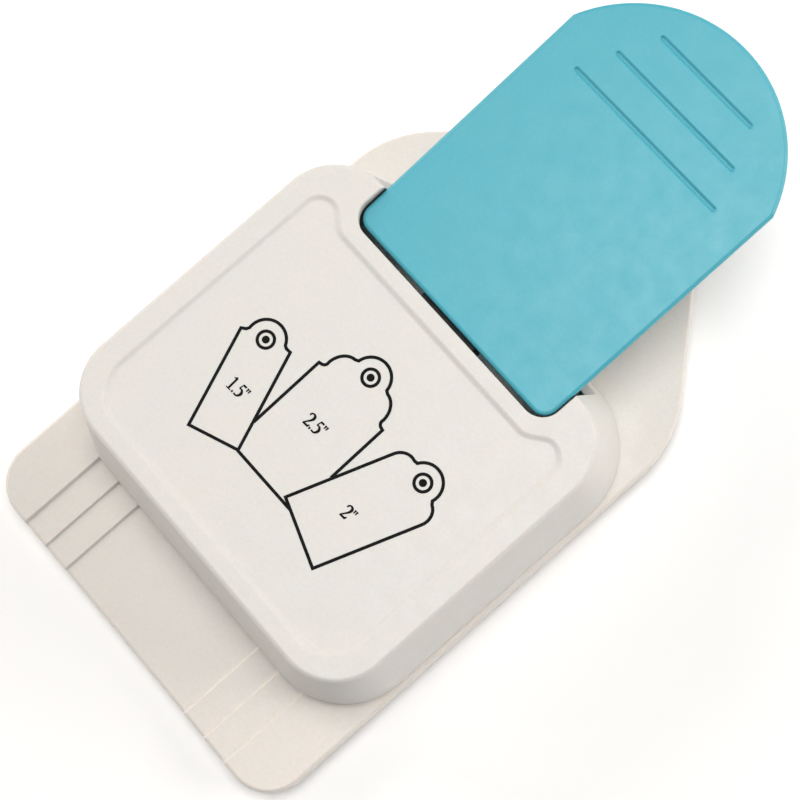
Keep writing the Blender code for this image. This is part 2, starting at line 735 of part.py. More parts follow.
def cap_outline(inset=0.0):
    """Square front with rounded corners, sides that widen a little, and a wide round end."""
    side = CAP_HALF_WIDTH - inset
    narrow = CAP_FRONT_HALF_WIDTH - inset
    front = CAP_FRONT + inset
    shoulder = CAP_FRONT + CAP_SHOULDER
    corner = max(CAP_CORNER_RADIUS - inset, 0.5)
    radius = CAP_END_RADIUS - inset
    centre = shoulder - math.sqrt(CAP_END_RADIUS**2 - CAP_HALF_WIDTH**2)
    swing = math.degrees(math.asin(side / radius))
    corners = [(-narrow, front, corner), (narrow, front, corner), (side, shoulder, 0), (-side, shoulder, 0)]
    return filleted(corners)[:-2] + arc(0, centre, radius, radius, 90 - swing, 90 + swing, 24)


def lever_cap(lever):
    """Moulded finger plate: rounded top edge, skirt, three grip grooves, hollow below."""
    bottom = CAP_TOP - CAP_DEPTH
    edge = CAP_EDGE_RADIUS
    levels = [
        (CAP_DRAFT, bottom),
        (0.0, CAP_TOP - edge),
        (0.3 * edge, CAP_TOP - 0.3 * edge),
        (edge, CAP_TOP),
    ]
    rings = [[(x, y, z) for x, y in cap_outline(inset)] for inset, z in levels]
    ceiling = CAP_TOP - CAP_WALL
    cap = added("lever_cap", loft_mesh(rings), "teal_plastic", lever)
    cut(cap, prism("cap_hollow", cap_outline(2.6), (bottom - 2, ceiling), None, lever))
    skirt = (CAP_FRONT - 1, CAP_FRONT + 4)
    passage = [(skirt[0], bottom - 1), (skirt[1], bottom - 1)]
    passage += [(skirt[1], ARM_TOP + GAP), (skirt[0], ARM_TOP + GAP)]
    width = ARM_HALF_WIDTH + 2 * GAP
    cut(cap, side_prism("arm_passage", passage, (-width, width), None, lever))
    for i, (distance, half) in enumerate(GROOVES):
        y = CAP_FRONT + distance
        low, high = y - GROOVE_HALF_WIDTH, y + GROOVE_HALF_WIDTH
        groove = rectangle(half, low, high, GROOVE_HALF_WIDTH * 0.98, 4)
        cut(cap, prism(f"groove_{i}", groove, (CAP_TOP - GROOVE_DEPTH, CAP_TOP + 2), None, lever))
    for at in CAP_SCREW_YS:
        drill(cap, 0, at, SCREW_SHANK - 0.1, (ceiling - 1, CAP_TOP - 0.8), lever)


def cap_screws(lever):
    """Two short screws from below the arm's web into the cap."""
    for name, at in zip(("front", "rear"), CAP_SCREW_YS):
        web = ARM_TOP - ARM_SHEET - GAP
        screw(f"cap_screw_{name}", (0, at), web, CAP_TOP - 1.1, lever, shank=1.1, head=2.4, thick=1.4)


# Head shell


def head_ring(z, half_width, front, rear, front_radius, rear_radius):
    outline = filleted(
        [
            (-half_width, front, front_radius),
            (half_width, front, front_radius),
            (half_width, rear, rear_radius),
            (-half_width, rear, rear_radius),
        ],
        10,
    )
    return [(x, y, z) for x, y in outline]


def head_shell(root):
    """Cover over the mechanism: flared walls, raised border round a panel, notch for the lever."""
    levels = [  # height, half width, front, rear, front and rear corner radius
        (HEAD_TOP_Z, 39.1, 26.5, 95.9, 11.0, 11.0),
        (HEAD_TOP_Z - 0.35, 39.8, 25.75, 96.7, 11.6, 11.7),
        (HEAD_TOP_Z - 1.2, 40.1, 25.3, 97.1, 12.0, 12.2),
        (16.0, 43.0, 20.8, 103.4, 15.6, 17.4),
        (HEAD_BOTTOM_Z, 43.2, HEAD_FRONT_Y, HEAD_REAR_Y, 16.2, 18.0),
    ]
    rings = [head_ring(*level) for level in levels]
    for level in (levels[-1], levels[-2], (HEAD_CEILING_Z, *levels[-3][1:])):
        z, half_width, front, rear, front_radius, rear_radius = level
        rings.append(head_ring(z, half_width - HEAD_WALL, front + HEAD_WALL, rear - HEAD_WALL,
                               front_radius - HEAD_WALL, rear_radius - HEAD_WALL))
    head = added("head_shell", loft_mesh(rings), "cream_plastic", root)
    for side_name, side in (("left", -1), ("right", 1)):
        for y in HEAD_BOSS_YS:
            outline = circle(side * HEAD_BOSS_X, y, HEAD_BOSS_RADIUS)
            z_range = (HEAD_BOTTOM_Z, HEAD_CEILING_Z + 0.6)
            joined(head, prism(f"boss_{side_name}_{y:.0f}", outline, z_range, None, root))
            z_range = (HEAD_BOTTOM_Z - 1, HEAD_SCREW_END_Z + 2)
            drill(head, side * HEAD_BOSS_X, y, HEAD_SCREW_SHANK + 0.1, z_range, root)
    notch = filleted(
        [
            (-NOTCH_HALF_WIDTH, NOTCH_Y, NOTCH_CORNER_RADIUS),
            (NOTCH_HALF_WIDTH, NOTCH_Y, NOTCH_CORNER_RADIUS),
            (NOTCH_HALF_WIDTH, HEAD_REAR_Y + BEYOND, 0),
            (-NOTCH_HALF_WIDTH, HEAD_REAR_Y + BEYOND, 0),
        ]
    )
    cut(head, prism("lever_notch", notch, (NOTCH_SILL_Z, HEAD_TOP_Z + BEYOND), None, root))
    arm_slot = rectangle(ARM_SLOT_HALF_WIDTH, NOTCH_Y + 2, HEAD_REAR_Y + BEYOND)
    cut(head, prism("arm_slot", arm_slot, (ARM_SLOT_SILL_Z, NOTCH_SILL_Z + 1), None, root))
    throat = filleted(
        [
            (-THROAT_HALF_WIDTH, HEAD_BOTTOM_Z - BEYOND, 0),
            (THROAT_HALF_WIDTH, HEAD_BOTTOM_Z - BEYOND, 0),
            (THROAT_HALF_WIDTH, THROAT_TOP_Z, 2.5),
            (-THROAT_HALF_WIDTH, THROAT_TOP_Z, 2.5),
        ]
    )
    cut(head, front_prism("throat", throat, (HEAD_FRONT_Y - BEYOND, PLATE_FRONT_Y), None, root))
    z_range = (HEAD_TOP_Z - PANEL_DEPTH, HEAD_TOP_Z + BEYOND)
    cut(head, prism("panel", panel_outline(), z_range, None, root))


def panel_outline():
    """Sunk panel: it keeps a border to the head's edge and to the lever's notch."""
    right = [
        (PANEL_HALF_WIDTH, PANEL_FRONT_Y, 8.2),
        (PANEL_HALF_WIDTH, PANEL_REAR_Y, 3.7),
        (30.0, PANEL_REAR_Y, 2.5),
        (26.0, PANEL_WAIST_Y, 4.0),
    ]
    return filleted(right + [(-x, y, radius) for x, y, radius in reversed(right)])


def head_screws(root):
    """Four screws from below the base into the head's bosses."""
    for name, y in zip(("front", "rear"), HEAD_BOSS_YS):
        for side_name, side in (("left", -1), ("right", 1)):
            place = (side * HEAD_BOSS_X, y)
            made = f"head_screw_{name}_{side_name}"
            seat = HEAD_SCREW_SEAT_Z - GAP
            screw(made, place, seat, HEAD_SCREW_END_Z, root, shank=HEAD_SCREW_SHANK)


def main():
    for old in list(bpy.data.objects):
        bpy.data.objects.remove(old)
    root = empty("craft_punch", None, (0, -TOTAL_LENGTH / 2, 0))
    punch = empty("punch_slide", root)
    lever = empty("lever_axis", root, (0, PIVOT_Y, PIVOT_Z), LEVER_TILT)
    base_shell(root)
    feet(root)
    die_plate(root)
    edge_rails(root)
    guide_plate(root)
    die_screws(root)
    pivot_bracket(root)
    bracket_screws(root)
    pivot_pin(root)
    guide_posts(root)
    return_springs(root)
    clips(root)
    punch_holder(punch)
    tag_punch(punch)
    eyelet_punch(punch)
    punch_screws(punch)
    wear_pad(punch)
    lever_arm(lever)
    press_pin(lever)
    lever_cap(lever)
    cap_screws(lever)
    head_shell(root)
    head_screws(root)


main()
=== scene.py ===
import json
import math

import bmesh
import bpy
from mathutils import Matrix, Vector


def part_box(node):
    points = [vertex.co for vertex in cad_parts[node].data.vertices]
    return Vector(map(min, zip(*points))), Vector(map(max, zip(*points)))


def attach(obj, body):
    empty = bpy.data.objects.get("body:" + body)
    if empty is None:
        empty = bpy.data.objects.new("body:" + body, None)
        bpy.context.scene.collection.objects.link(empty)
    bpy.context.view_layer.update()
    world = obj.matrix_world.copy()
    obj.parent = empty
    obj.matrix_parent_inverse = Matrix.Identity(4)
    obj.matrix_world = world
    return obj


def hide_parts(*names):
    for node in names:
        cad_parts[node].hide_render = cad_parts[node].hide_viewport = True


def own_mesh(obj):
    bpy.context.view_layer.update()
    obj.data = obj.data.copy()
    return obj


# Looks of the craft punch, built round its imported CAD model.
#
# Design lengths are in millimetres. Pieces on the base are drawn in the base frame: X to the right,
# Y back from the base's front edge, Z up from the table. The lever's cap is drawn in the lever frame,
# which sits on the pivot and is tilted up towards the back at rest.

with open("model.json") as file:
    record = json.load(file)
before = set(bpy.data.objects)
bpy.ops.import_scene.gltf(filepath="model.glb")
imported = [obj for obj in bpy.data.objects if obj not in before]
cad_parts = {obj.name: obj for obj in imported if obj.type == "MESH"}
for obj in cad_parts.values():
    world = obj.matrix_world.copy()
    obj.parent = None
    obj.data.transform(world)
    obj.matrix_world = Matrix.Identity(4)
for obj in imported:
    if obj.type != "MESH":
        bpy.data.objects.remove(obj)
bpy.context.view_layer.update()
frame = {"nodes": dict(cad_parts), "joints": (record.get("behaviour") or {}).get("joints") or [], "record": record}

MM = 0.001
BEYOND = 5.0  # how far a cutter runs past the piece it cuts

# Base
BASE_HALF_WIDTH = 44.3
BASE_REAR_Y = 137.0
BASE_REAR_HALF_WIDTH = 20.5
BASE_SHOULDER_Y = 109.7
BASE_BOTTOM_Z = 1.5
BASE_EDGE_RADIUS = 0.9
BASE_CORNERS = (9.0, 25.0, 10.0)  # radii of the front, shoulder and rear corners
DECK_Z = 9.0
CHANNEL_HALF_WIDTHS = (31.75, 25.4, 19.05)
CHANNEL_FLOORS_Z = (8.4, 7.9, 7.4)
CHANNEL_RISER_WIDTHS = (0.8, 0.6, 0.65)
CHANNEL_END_Y = 33.0
POCKET_FLOOR_Z = 5.1
BASE_CAVITY_Z = 3.6
BASE_HOLLOW_HALF_WIDTH = 28.0
BASE_HOLLOWS_Y = ((4.0, 46.0), (77.0, 101.0))
POCKET_Y = (30.7, 88.3)
POCKET_HALF_WIDTH = 33.8
POCKET_EAR_HALF_WIDTH = 40.3
POCKET_EAR_HALF_LENGTH = 4.3
CHIP_WINDOW_Y = (51.0, 72.0)
CHIP_WINDOW_HALF_WIDTH = 31.8
DIE_SCREW_X = 36.6
DIE_SCREW_YS = (50.0, 74.0)

# Holes in the base: radius, and the height where they start or end
HEAD_SCREW_HOLE_RADIUS = 1.5
HEAD_SCREW_SEAT = (3.1, 4.4)
DIE_SCREW_HOLE = (1.85, 2.6)
SPRING_SEAT = (3.0, 6.3)
POST_HOLE = (1.8, 4.7)

# Head; its outlines are half width, front, rear, front corner radius, rear corner radius
HEAD_TOP_Z = 38.5
HEAD_SIDE_RISE = 21.3  # from the waist up to the brow
HEAD_CROWN_RISE = 1.2  # from the brow up to the top
HEAD_WAIST_Z = 16.0
HEAD_BOTTOM_Z = 9.3
HEAD_CEILING_Z = 35.6
HEAD_WALL = 1.8
HEAD_REAR_Y = 105.0
HEAD_CROWN = (39.1, 26.5, 95.9, 11.0, 11.0)
HEAD_BROW = (40.1, 25.3, 97.1, 12.0, 12.2)
HEAD_WAIST = (43.0, 20.8, 103.4, 15.6, 17.4)
HEAD_FOOT = (43.2, 20.4, HEAD_REAR_Y, 16.2, 18.0)
PANEL_Z = 38.0
PANEL_HALF_WIDTH = 34.7
PANEL_FRONT_Y = 29.8
PANEL_REAR_Y = 87.8
PANEL_WAIST_Y = 84.75
PANEL_RISER_WIDTH = 1.4
PANEL_EAR_X = 30.0
PANEL_WAIST_X = 26.0
PANEL_FRONT_RADIUS = 8.2
PANEL_REAR_RADIUS = 3.7
PANEL_EAR_RADIUS = 2.5
PANEL_WAIST_RADIUS = 4.0
NOTCH_HALF_WIDTH = 27.0
NOTCH_Y = 88.25
NOTCH_CORNER_RADIUS = 4.3
NOTCH_EDGE_RADIUS = 0.45
NOTCH_SILL_Z = 17.5
ARM_SLOT_HALF_WIDTH = 9.0
ARM_SLOT_SILL_Z = 12.0
THROAT_HALF_WIDTH = 34.5
THROAT_TOP_Z = 14.0
THROAT_CORNER_RADIUS = 2.5
THROAT_Y = (10.0, 31.0)
HEAD_BOSS_X = 36.4
HEAD_BOSS_YS = (38.4, 83.6)
HEAD_BOSS_RADIUS = 2.8
BOSS_HOLE_RADIUS = 1.2
BOSS_HOLE_TOP_Z = 22.0
HEAD_CUTTER_BOTTOM_Z = 5.0  # below the head's bottom edge

# Lever cap, in the lever frame
LEVER_TILT = math.radians(6.4)
CAP_FRONT = 56.0
CAP_TOP = 3.5
CAP_DEPTH = 6.0
ARM_CLEARANCE = 0.6
PASSAGE_GAP = 0.3
CAP_DRAFT = 0.61
CAP_WALL = 2.2
CAP_SKIRT = 2.6
CAP_FRONT_HALF_WIDTH = 26.55
CAP_HALF_WIDTH = 26.95
CAP_SHOULDER = 56.1
CAP_END_RADIUS = 29.1
CAP_CORNER_RADIUS = 3.1
CAP_EDGE_RADIUS = 0.9
GROOVES = ((49.25, 19.0), (56.8, 15.8), (64.65, 12.15))  # distance from the cap's front, half length
ARM_HALF_WIDTH = 7.3
ARM_TOP = 0.97

# Return springs
POST_X = 36.5
PUNCH_Y = 62.0
SPRING_RADIUS = 2.2
SPRING_WIRE = 0.35
SPRING_COILS = 5.5
SPRING_BOTTOM_Z = 6.6
SPRING_TOP_Z = 17.1

# Printed tags on the panel
INK_THICKNESS = 0.03
LINE_HALF_WIDTH = 0.31
EYELET_RING_RADIUS = 1.64
EYELET_DOT_RADIUS = 0.76
NUMERAL_HEIGHT = 2.7
NUMERAL_WEIGHT = 1.3
NUMERAL_TURN = 3.5

front_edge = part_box("base_shell")[0].y
pivot = Vector(frame["joints"][0]["pos_m"])
BASE_FRAME = Matrix.Translation((0, front_edge, 0)) @ Matrix.Scale(MM, 4)
LEVER_FRAME = Matrix.Translation(pivot) @ Matrix.Rotation(LEVER_TILT, 4, "X") @ Matrix.Scale(MM, 4)


# Outlines


def filleted(corners, steps=14):
    """An anticlockwise outline from (a, b, radius) corners, each rounded by an arc."""
    outline = []
    for i, (a, b, radius) in enumerate(corners):
        if radius == 0:
            outline.append((a, b))
            continue
        here = Vector((a, b))
        before = (Vector(corners[i - 1][:2]) - here).normalized()
        after = (Vector(corners[(i + 1) % len(corners)][:2]) - here).normalized()
        half = before.angle(after) / 2
        centre = here + (before + after).normalized() * (radius / math.sin(half))
        start = here + before * (radius / math.tan(half)) - centre
        sweep = (math.pi - 2 * half) * math.copysign(1, -before.cross(after))
        for k in range(steps + 1):
            turn = Matrix.Rotation(sweep * k / steps, 2)
            outline.append(tuple(centre + turn @ start))
    return outline


def mirrored(right):
    """The (a, b, radius) corners of an outline's right half and their mirror images."""
    return right + [(-a, b, radius) for a, b, radius in reversed(right)]


def rectangle(half_width, low, high, radius=0.0, steps=8):
    return filleted(mirrored([(half_width, low, radius), (half_width, high, radius)]), steps)


def arc(a, b, radius_a, radius_b, start, end, steps):
    """Points of an elliptical arc about (a, b), between two angles in degrees."""
    angles = [math.radians(start + (end - start) * k / steps) for k in range(steps + 1)]
    return [(a + radius_a * math.cos(t), b + radius_b * math.sin(t)) for t in angles]


def circle(a, b, radius, sides=40):
    return arc(a, b, radius, radius, 0, 360, sides)[:-1]


def grown(outline, distance):
    """An anticlockwise outline moved outwards by a distance along its own normals."""
    moved = []
    for i, (a, b) in enumerate(outline):
        here = Vector((a, b))
        before = (here - Vector(outline[i - 1])).normalized()
        after = (Vector(outline[(i + 1) % len(outline)]) - here).normalized()
        outwards = Vector((before.y + after.y, -before.x - after.x)).normalized()
        lean = outwards.dot(Vector((before.y, -before.x)))
        moved.append(tuple(here + outwards * (distance / lean)))
    return moved


def at_height(outline, z):
    return [(x, y, z) for x, y in outline]


# Meshes


def made(name, mesh, place):
    """A named object for a mesh in millimetres, set down by its frame."""
    mesh.transform(place)
    bmesh.ops.recalc_face_normals(mesh, faces=mesh.faces)
    data = bpy.data.meshes.new(name)
    mesh.to_mesh(data)
    mesh.free()
    piece = bpy.data.objects.new(name, data)
    bpy.context.scene.collection.objects.link(piece)
    return piece


def loft(rings, mesh=None, low_cap=True, high_cap=True):
    """A skin through rings of equally many points; returns the mesh and its last ring."""
    mesh = mesh or bmesh.new()
    loops = [[mesh.verts.new(point) for point in ring] for ring in rings]
    for low, high in zip(loops, loops[1:]):
        for i in range(len(low)):
            j = (i + 1) % len(low)
            mesh.faces.new((low[i], low[j], high[j], high[i]))
    if low_cap:
        mesh.faces.new(loops[0])
    if high_cap:
        mesh.faces.new(loops[-1])
    return mesh, loops[-1]


def lofted(name, rings, place=BASE_FRAME):
    return made(name, loft(rings)[0], place)


def prism(name, outline, low, high, place=BASE_FRAME):
    return lofted(name, [at_height(outline, low), at_height(outline, high)], place)


def drill(name, x, y, radius, low, high, place=BASE_FRAME):
    return prism(name, circle(x, y, radius, 28), low, high, place)


def mouthed(name, outline, low, mouth, radius, place=BASE_FRAME):
    """A cutter that leaves a rounded edge where it opens at the height of the mouth."""
    rings = [at_height(outline, low)]
    for k in range(6):
        angle = math.pi / 2 * k / 5
        rings.append(at_height(grown(outline, radius * (1 - math.cos(angle))),
                               mouth - radius + (radius + 0.02) * math.sin(angle)))
    rings.append(at_height(grown(outline, radius), mouth + BEYOND))
    return lofted(name, rings, place)


def carved(piece, cutters=(), additions=()):
    """Joins the additions to a piece, cuts the cutters out of it and deletes both."""
    for operation, tools in (("UNION", additions), ("DIFFERENCE", cutters)):
        for tool in tools:
            modifier = piece.modifiers.new(tool.name, "BOOLEAN")
            modifier.operation = operation
            modifier.solver = "EXACT"
            modifier.object = tool
    depsgraph = bpy.context.evaluated_depsgraph_get()
    result = bpy.data.meshes.new_from_object(piece.evaluated_get(depsgraph))
    piece.modifiers.clear()
    piece.data = result
    for tool in (*cutters, *additions):
        bpy.data.objects.remove(tool)
    return piece


def shaded(piece, angle=32):
    """Smooth shading that keeps flat faces flat and edges over the angle sharp."""
    piece.data.shade_smooth()
    piece.data.set_sharp_from_angle(angle=math.radians(angle))
    weighted = piece.modifiers.new("flat_faces_stay_flat", "WEIGHTED_NORMAL")
    weighted.keep_sharp = True
    return piece


def dressed(piece, material, slot, body, *nodes):
    """Gives a finished piece its material and its place in the frame."""
    piece.data.materials.clear()
    piece.data.materials.append(material)
    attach(piece, body)
    if nodes:
        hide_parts(*nodes)
    return piece


# Base


def base_outline(inset=0.0):
    """The base's outline, drawn in by an inset; it narrows from the shoulders to the rear."""
    side = BASE_HALF_WIDTH - inset
    front, shoulder, rear = BASE_CORNERS
    right = [
        (side, inset, front - inset),
        (side, BASE_SHOULDER_Y - inset * 0.4, shoulder),
        (BASE_REAR_HALF_WIDTH - inset * 0.4, BASE_REAR_Y - inset, rear - inset),
    ]
    return filleted(mirrored(right), 20)


def base_edge_drop(distance):
    """How far the rounded edge lies below the deck, at a distance inside the outline."""
    short = max(BASE_EDGE_RADIUS - max(distance, 0.0), 0.0)
    return BASE_EDGE_RADIUS - math.sqrt(BASE_EDGE_RADIUS**2 - short**2)


def riser(x, width, low, high, steps=8):
    """A soft step up from low to high, centred on x."""
    points = []
    for k in range(steps + 1):
        share = k / steps
        rise = (1 - math.cos(math.pi * share)) / 2
        points.append((x + width * (share - 0.5), low + (high - low) * rise))
    return points


def channel_cutter():
    """The stepped strip channel, whose floors roll over the base's front edge with the deck."""
    heights = (DECK_Z + 0.02, *CHANNEL_FLOORS_Z)
    right = []
    for i in (2, 1, 0):
        half, width = CHANNEL_HALF_WIDTHS[i], CHANNEL_RISER_WIDTHS[i]
        right += riser(half, width, heights[i + 1], heights[i])
    top = DECK_Z + BEYOND
    right.append((right[-1][0], top))
    section = right + [(-x, z) for x, z in reversed(right)]
    distances = [BASE_EDGE_RADIUS * (1 - math.cos(math.pi / 2 * k / 7)) for k in range(8)]
    rings = []
    for y in (-BEYOND, *distances, CHANNEL_END_Y):
        drop = base_edge_drop(y)
        rings.append([(x, y, z if z == top else z - drop) for x, z in section])
    return lofted("channel", rings)


def pocket_outline():
    """Pocket for the die set: a rectangle with an ear for each screw."""
    front, rear = POCKET_Y
    right = [(POCKET_HALF_WIDTH, front)]
    for y in DIE_SCREW_YS:
        low, high = y - POCKET_EAR_HALF_LENGTH, y + POCKET_EAR_HALF_LENGTH
        right += [(POCKET_HALF_WIDTH, low), (POCKET_EAR_HALF_WIDTH, low)]
        right += [(POCKET_EAR_HALF_WIDTH, high), (POCKET_HALF_WIDTH, high)]
    right.append((POCKET_HALF_WIDTH, rear))
    return right + [(-x, y) for x, y in reversed(right)]


def base_shell():
    """The moulded base, with a small rounding below and a larger one round the deck."""
    rings = []
    for inset, rise in ((0.5, 0.0), (0.12, 0.15), (0.0, 0.6)):
        rings.append(at_height(base_outline(inset), BASE_BOTTOM_Z + rise))
    for k in range(9):
        angle = math.pi / 2 * k / 8
        inset = BASE_EDGE_RADIUS * (1 - math.cos(angle))
        z = DECK_Z - BASE_EDGE_RADIUS * (1 - math.sin(angle))
        rings.append(at_height(base_outline(inset), z))
    base = lofted("base_moulding", rings)
    cutters = [
        channel_cutter(),
        prism("die_pocket", pocket_outline(), POCKET_FLOOR_Z, DECK_Z + BEYOND),
        prism("chip_window", rectangle(CHIP_WINDOW_HALF_WIDTH, *CHIP_WINDOW_Y, 2.0), 0, DECK_Z),
    ]
    for i, (low, high) in enumerate(BASE_HOLLOWS_Y):
        outline = rectangle(BASE_HOLLOW_HALF_WIDTH, low, high, 3.0)
        cutters.append(prism(f"hollow_{i}", outline, 0, BASE_CAVITY_Z))
    seat_radius, seat_top = HEAD_SCREW_SEAT
    die_radius, die_bottom = DIE_SCREW_HOLE
    spring_radius, spring_bottom = SPRING_SEAT
    post_radius, post_bottom = POST_HOLE
    for side in (-1, 1):
        for y in HEAD_BOSS_YS:
            x = side * HEAD_BOSS_X
            cutters.append(drill("head_hole", x, y, HEAD_SCREW_HOLE_RADIUS, 0, DECK_Z + 1))
            cutters.append(drill("head_seat", x, y, seat_radius, 0, seat_top))
        for y in DIE_SCREW_YS:
            cutters.append(drill("die_hole", side * DIE_SCREW_X, y, die_radius, die_bottom, DECK_Z + 1))
        x = side * POST_X
        cutters.append(drill("spring_seat", x, PUNCH_Y, spring_radius, spring_bottom, DECK_Z + 1))
        cutters.append(drill("post_hole", x, PUNCH_Y, post_radius, post_bottom, DECK_Z))
    return shaded(carved(base, cutters))


# Head


def head_outline(half_width, front, rear, front_radius, rear_radius):
    right = [(half_width, front, front_radius), (half_width, rear, rear_radius)]
    return filleted(mirrored(right), 24)


def between(first, second, share):
    return [a + (b - a) * share for a, b in zip(first, second)]


def head_levels():
    """Heights and outlines of the outer skin, from the bottom edge to the flat border."""
    undercut = [v - w for v, w in zip(HEAD_FOOT, (0.25, -0.25, 0.25, 0.25, 0.25))]
    levels = [(HEAD_BOTTOM_Z, undercut), (HEAD_BOTTOM_Z + 0.3, HEAD_FOOT), (HEAD_WAIST_Z, HEAD_WAIST)]
    for k in range(1, 5):
        share = k / 5
        z = HEAD_WAIST_Z + HEAD_SIDE_RISE * share
        levels.append((z, between(HEAD_WAIST, HEAD_BROW, share)))
    for k in range(11):
        angle = math.pi / 2 * k / 10
        z = HEAD_TOP_Z - HEAD_CROWN_RISE * (1 - math.sin(angle))
        levels.append((z, between(HEAD_BROW, HEAD_CROWN, 1 - math.cos(angle))))
    return levels


def head_lining():
    """The inner skin's rings, one wall inside the outer skin, from the ceiling down."""
    ceiling = between(HEAD_WAIST, HEAD_BROW, 0.8)
    rings = []
    for z, sizes in ((HEAD_CEILING_Z, ceiling), (HEAD_WAIST_Z, HEAD_WAIST), (HEAD_BOTTOM_Z, HEAD_FOOT)):
        half_width, front, rear, front_radius, rear_radius = sizes
        y_range = (front + HEAD_WALL, rear - HEAD_WALL)
        radii = (front_radius - HEAD_WALL, rear_radius - HEAD_WALL)
        rings.append(at_height(head_outline(half_width - HEAD_WALL, *y_range, *radii), z))
    return rings


def panel_outline():
    """The sunk panel: its rear edge steps forward between two ears, clear of the notch."""
    right = [
        (PANEL_HALF_WIDTH, PANEL_FRONT_Y, PANEL_FRONT_RADIUS),
        (PANEL_HALF_WIDTH, PANEL_REAR_Y, PANEL_REAR_RADIUS),
        (PANEL_EAR_X, PANEL_REAR_Y, PANEL_EAR_RADIUS),
        (PANEL_WAIST_X, PANEL_WAIST_Y, PANEL_WAIST_RADIUS),
    ]
    return filleted(mirrored(right), 16)


def panel_rings(steps=12):
    """The soft step from the flat border down to the sunk panel."""
    rings = []
    for k in range(steps + 1):
        share = k / steps
        drop = (HEAD_TOP_Z - PANEL_Z) * (1 - math.cos(math.pi * share)) / 2
        outline = grown(panel_outline(), PANEL_RISER_WIDTH * (0.5 - share))
        rings.append(at_height(outline, HEAD_TOP_Z - drop))
    return rings


def notch_outline():
    front = (NOTCH_HALF_WIDTH, NOTCH_Y, NOTCH_CORNER_RADIUS)
    rear = (NOTCH_HALF_WIDTH, HEAD_REAR_Y + BEYOND, 0)
    return filleted(mirrored([front, rear]))


def head_moulding():
    """One closed skin: outside, bottom rim, lining, flat border and sunk panel."""
    outer = [at_height(head_outline(*sizes), z) for z, sizes in head_levels()]
    mesh, border = loft(outer, low_cap=False, high_cap=False)
    mesh.verts.ensure_lookup_table()
    bottom = mesh.verts[: len(outer[0])]
    _, rim = loft(head_lining(), mesh, low_cap=True, high_cap=False)
    for i in range(len(rim)):
        j = (i + 1) % len(rim)
        mesh.faces.new((bottom[i], bottom[j], rim[j], rim[i]))
    first = len(mesh.verts)
    loft(panel_rings(), mesh, low_cap=False, high_cap=True)
    mesh.verts.ensure_lookup_table()
    panel_edge = mesh.verts[first : first + len(panel_rings()[0])]
    rims = []
    for ring in (border, panel_edge):
        for i in range(len(ring)):
            rims.append(mesh.edges.get((ring[i], ring[(i + 1) % len(ring)])))
    bmesh.ops.triangle_fill(mesh, use_beauty=True, use_dissolve=False, edges=rims)
    return made("head_moulding", mesh, BASE_FRAME)


def head_shell():
    """The head's moulding with its screw bosses, the lever's notch and the strip's throat."""
    head = head_moulding()
    bosses, cutters = [], []
    for side in (-1, 1):
        for y in HEAD_BOSS_YS:
            x = side * HEAD_BOSS_X
            bosses.append(drill("boss", x, y, HEAD_BOSS_RADIUS, HEAD_BOTTOM_Z, HEAD_CEILING_Z + 0.6))
            hole = (BOSS_HOLE_RADIUS, HEAD_CUTTER_BOTTOM_Z, BOSS_HOLE_TOP_Z)
            cutters.append(drill("boss_hole", x, y, *hole))
    cutters.append(mouthed("notch", notch_outline(), NOTCH_SILL_Z, HEAD_TOP_Z, NOTCH_EDGE_RADIUS))
    arm_slot = rectangle(ARM_SLOT_HALF_WIDTH, NOTCH_Y + 2, HEAD_REAR_Y + BEYOND)
    cutters.append(prism("arm_slot", arm_slot, ARM_SLOT_SILL_Z, NOTCH_SILL_Z + 1))
    side, top, corner = THROAT_HALF_WIDTH, THROAT_TOP_Z, THROAT_CORNER_RADIUS
    foot = HEAD_CUTTER_BOTTOM_Z
    throat = filleted([(-side, foot, 0), (side, foot, 0), (side, top, corner), (-side, top, corner)])
    cutters.append(lofted("throat", [[(x, y, z) for x, z in throat] for y in THROAT_Y]))
    return shaded(carved(head, cutters, bosses))


# Lever cap


def cap_outline(inset=0.0):
    """Square front with rounded corners, sides that widen a little, and a wide round end."""
    side = CAP_HALF_WIDTH - inset
    narrow = CAP_FRONT_HALF_WIDTH - inset
    front = CAP_FRONT + inset
    shoulder = CAP_FRONT + CAP_SHOULDER
    corner = max(CAP_CORNER_RADIUS - inset, 0.5)
    radius = CAP_END_RADIUS - inset
    centre = shoulder - math.sqrt(CAP_END_RADIUS**2 - CAP_HALF_WIDTH**2)
    swing = math.degrees(math.asin(side / radius))
    corners = [(-narrow, front, corner), (narrow, front, corner)]
    corners += [(side, shoulder, 0), (-side, shoulder, 0)]
    return filleted(corners)[:-2] + arc(0, centre, radius, radius, 90 - swing, 90 + swing, 64)


def stadium(half_length, y, half_width, steps=8):
    """A slot along X with round ends."""
    straight = half_length - half_width
    right = arc(straight, y, half_width, half_width, -90, 90, steps)
    return right + arc(-straight, y, half_width, half_width, 90, 270, steps)


def groove_cutter(distance, half_length):
    """A grip groove with a round bottom and soft lips."""
    y = CAP_FRONT + distance
    profile = [(0.08, -0.42), (0.2, -0.4), (0.3, -0.33), (0.38, -0.24), (0.46, -0.14)]
    profile += [(0.55, -0.06), (0.66, -0.015), (0.8, 0.01), (0.8, BEYOND)]
    rings = [at_height(stadium(half_length + half - 0.5, y, half), CAP_TOP + z) for half, z in profile]
    return lofted("groove", rings, LEVER_FRAME)


